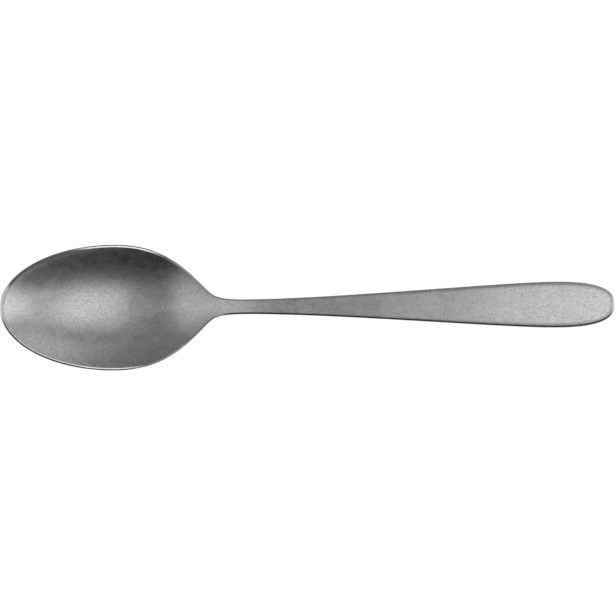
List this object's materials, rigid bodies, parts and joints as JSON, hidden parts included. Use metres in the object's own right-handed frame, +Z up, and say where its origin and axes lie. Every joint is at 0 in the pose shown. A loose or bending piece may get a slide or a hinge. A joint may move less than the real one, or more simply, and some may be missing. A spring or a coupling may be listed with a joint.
{
  "type": "soup spoon",
  "caption": "Soup spoon of matt stainless steel with an oval bowl, a slim neck and a flat handle that widens towards a rounded end.",
  "frame": {"origin": "on the table that the spoon lies on, under the middle of its length and width", "axes": "+X from the tip of the bowl to the end of the handle, +Y across the spoon, +Z up out of the bowl's hollow"},
  "size_m": [0.205, 0.042, 0.0164],
  "materials": {
    "steel": "matt tumbled (stonewashed) stainless steel with a fine mottled grain and small scratches"
  },
  "bodies": {
    "root": {"spoon": "steel"}
  },
  "joints": []
}
